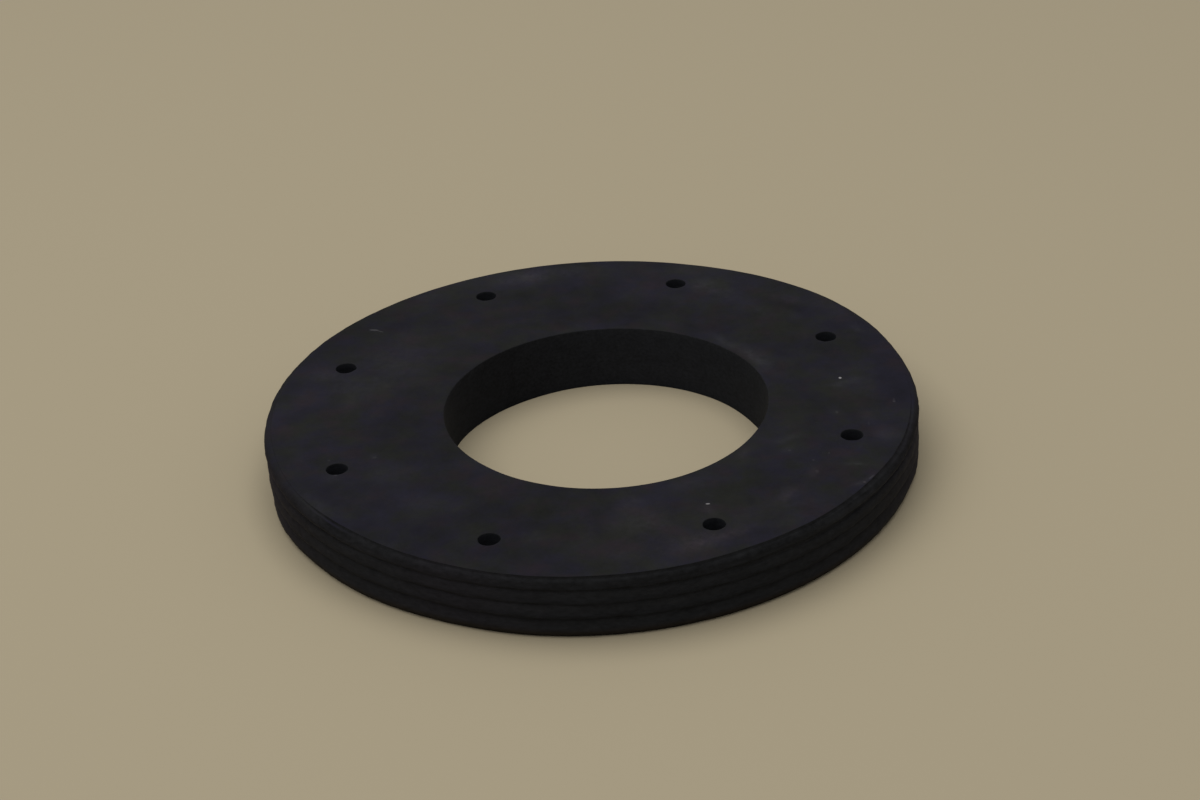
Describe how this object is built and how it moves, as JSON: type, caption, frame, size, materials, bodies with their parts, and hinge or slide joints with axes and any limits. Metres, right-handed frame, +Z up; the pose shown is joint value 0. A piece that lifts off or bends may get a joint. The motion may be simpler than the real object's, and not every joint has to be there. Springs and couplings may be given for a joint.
{
  "type": "sealing disc",
  "caption": "Flat round rubber sealing disc with an off-centre bore, a circle of small bolt holes and a ribbed rim.",
  "frame": {"origin": "on the disc's own axis, which is the axis of the rim and of the bolt circle, in the plane of the lower face", "axes": "+Z up along the disc's axis, through the thickness; the bolt holes straddle X and Y; the bore lies off the axis towards +X and -Y"},
  "size_m": [0.2, 0.2, 0.0205],
  "materials": {
    "rubber": "matt moulded rubber with a faint dusty bloom"
  },
  "bodies": {
    "root": {"sealing_disc": "rubber"}
  },
  "joints": []
}
